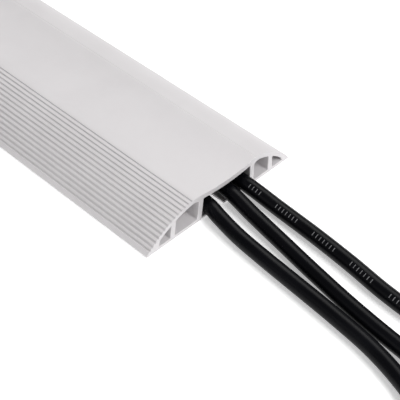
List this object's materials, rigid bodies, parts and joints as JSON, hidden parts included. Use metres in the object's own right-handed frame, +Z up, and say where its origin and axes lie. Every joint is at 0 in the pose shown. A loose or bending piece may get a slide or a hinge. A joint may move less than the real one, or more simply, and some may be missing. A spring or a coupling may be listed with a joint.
{
  "type": "floor cable cover",
  "caption": "Low soft PVC floor ramp with a split-base cable channel and hollow cushioned wings, holding black mains leads with a plug and an appliance connector.",
  "frame": {"origin": "on the floor under the middle of the cover, measured without the leads", "axes": "+X across the cover from the ribbed wing to the smooth wing, +Y along the cover from the end where the appliance connectors are to the end where the plugs are, +Z up"},
  "size_m": [0.1216, 1.4223, 0.0378],
  "materials": {
    "cover_pvc": "satin light grey soft PVC",
    "lead_jacket": "semi-gloss black PVC jacket",
    "plug_moulding": "fine matt black moulded PVC",
    "nickel_plate": "satin nickel plate",
    "contact_brass": "plain rolled brass"
  },
  "bodies": {
    "root": {"crown": "cover_pvc", "lead_1_cord": "lead_jacket", "lead_1_plug_strain_relief": "plug_moulding", "lead_1_plug_body": "plug_moulding", "lead_1_plug_pin_left": "nickel_plate", "lead_1_plug_pin_right": "nickel_plate", "lead_1_earth_strip_upper": "nickel_plate", "lead_1_earth_strip_lower": "nickel_plate", "lead_1_connector_strain_relief": "plug_moulding", "lead_1_connector_body": "plug_moulding", "lead_1_line_contact": "contact_brass", "lead_1_neutral_contact": "contact_brass", "lead_1_earth_contact": "contact_brass", "lead_2_cord": "lead_jacket", "lead_2_plug_strain_relief": "plug_moulding", "lead_2_plug_body": "plug_moulding", "lead_2_plug_pin_left": "nickel_plate", "lead_2_plug_pin_right": "nickel_plate", "lead_2_earth_strip_upper": "nickel_plate", "lead_2_earth_strip_lower": "nickel_plate", "lead_2_connector_strain_relief": "plug_moulding", "lead_2_connector_body": "plug_moulding", "lead_2_line_contact": "contact_brass", "lead_2_neutral_contact": "contact_brass", "lead_2_earth_contact": "contact_brass", "lead_3_cord": "lead_jacket", "lead_3_plug_strain_relief": "plug_moulding", "lead_3_plug_body": "plug_moulding", "lead_3_plug_pin_left": "nickel_plate", "lead_3_plug_pin_right": "nickel_plate", "lead_3_earth_strip_upper": "nickel_plate", "lead_3_earth_strip_lower": "nickel_plate", "lead_3_connector_strain_relief": "plug_moulding", "lead_3_connector_body": "plug_moulding", "lead_3_line_contact": "contact_brass", "lead_3_neutral_contact": "contact_brass", "lead_3_earth_contact": "contact_brass"},
    "near_wing": {"near_wing": "cover_pvc"},
    "far_wing": {"far_wing": "cover_pvc"},
    "near_flap": {"near_base_flap": "cover_pvc"},
    "far_flap": {"far_base_flap": "cover_pvc"}
  },
  "joints": [
    {"name": "near_wing_fold", "type": "hinge", "parent": "root", "child": "near_wing", "pos_m": [-0.0126, 0, 0.014], "axis": [0, 1, 0], "range_deg": [0, 60], "stiffness_Nm_per_rad": 1.5},
    {"name": "far_wing_fold", "type": "hinge", "parent": "root", "child": "far_wing", "pos_m": [0.0197, 0, 0.014], "axis": [0, -1, 0], "range_deg": [0, 60], "stiffness_Nm_per_rad": 1.5},
    {"name": "near_flap_fold", "type": "hinge", "parent": "near_wing", "child": "near_flap", "pos_m": [-0.0112, 0, 0], "axis": [0, 1, 0], "range_deg": [0, 70], "stiffness_Nm_per_rad": 0.3},
    {"name": "far_flap_fold", "type": "hinge", "parent": "far_wing", "child": "far_flap", "pos_m": [0.0172, 0, 0], "axis": [0, -1, 0], "range_deg": [0, 70], "stiffness_Nm_per_rad": 0.3}
  ]
}
